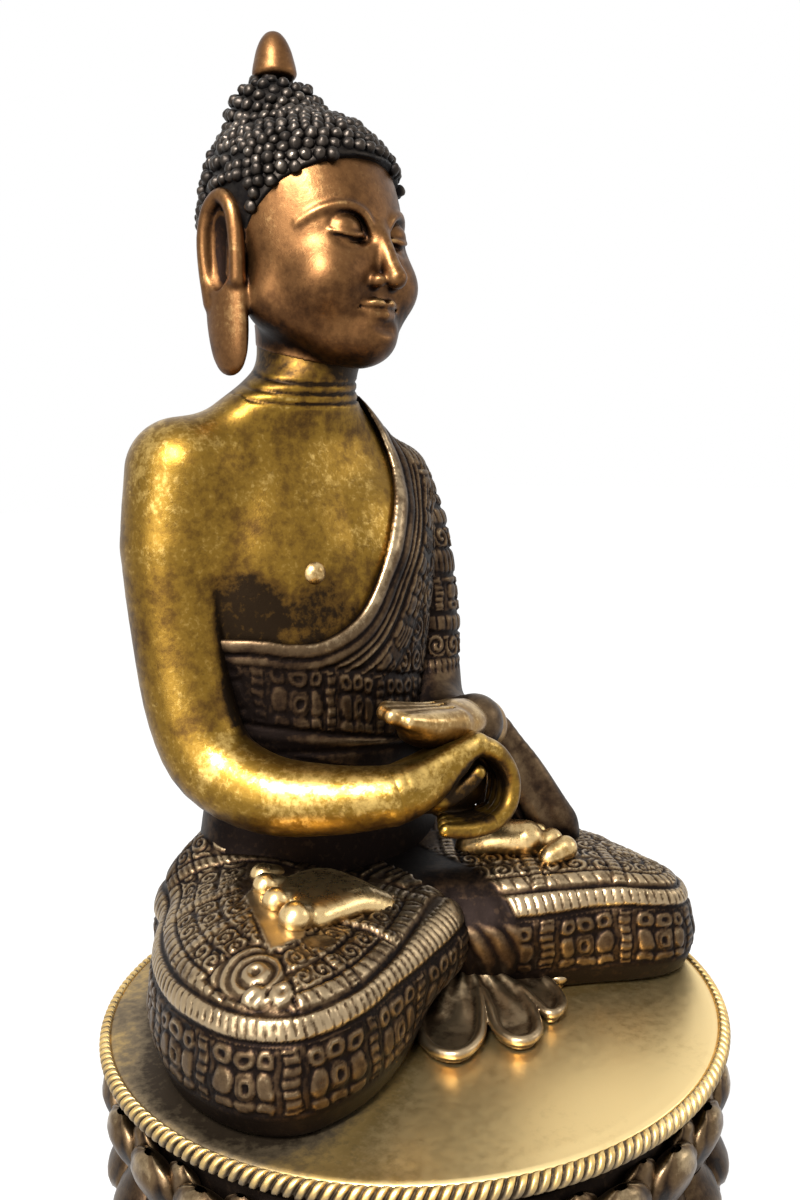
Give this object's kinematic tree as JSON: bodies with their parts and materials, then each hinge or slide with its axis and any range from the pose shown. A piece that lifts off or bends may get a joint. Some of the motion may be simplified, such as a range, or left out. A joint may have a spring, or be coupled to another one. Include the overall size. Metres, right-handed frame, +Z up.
{
  "type": "seated buddha statue",
  "caption": "Cast brass seated Buddha in a patterned robe, legs crossed and hands at the chest's foot, on a round double lotus pedestal with a roped rim.",
  "frame": {"origin": "centre of the pedestal's underside, on the surface that the statue stands on", "axes": "+Z up through the seat and the hair mound, -Y the way the figure faces, +X the figure's own left"},
  "size_m": [0.1352, 0.1354, 0.2523],
  "materials": {
    "polished_brass": "burnished brass, mottled",
    "skin_brass": "polished brass with brown mottling",
    "robe_brass": "carved brass, dark in the grooves and rubbed bright on the crests",
    "dark_patina": "dark brown patina over brass",
    "cast_inside": "rough as cast"
  },
  "bodies": {
    "root": {"foot_ring": "dark_patina", "lower_petal_ring": "robe_brass", "upper_petal_ring": "robe_brass", "pedestal_drum": "cast_inside", "neck_ring": "dark_patina", "seat_plate": "polished_brass", "rope_rim": "polished_brass", "sealing_plate": "cast_inside", "legs": "robe_brass", "right_wedge_pin": "cast_inside", "left_wedge_pin": "cast_inside", "hem_fan": "dark_patina", "left_foot": "polished_brass", "right_foot": "polished_brass", "torso": "skin_brass", "right_waist_pin": "cast_inside", "left_waist_pin": "cast_inside", "robe_drape": "robe_brass", "right_arm": "skin_brass", "right_shoulder_dowel": "cast_inside", "right_hand": "skin_brass", "right_wrist_dowel": "cast_inside", "left_sleeve": "robe_brass", "left_shoulder_dowel": "cast_inside", "left_hand": "skin_brass", "left_wrist_dowel": "cast_inside", "sleeve_fall": "robe_brass", "head": "skin_brass", "neck_dowel": "cast_inside", "hair_cap": "dark_patina", "crown_jewel": "polished_brass", "chest_boss": "polished_brass"}
  },
  "joints": []
}
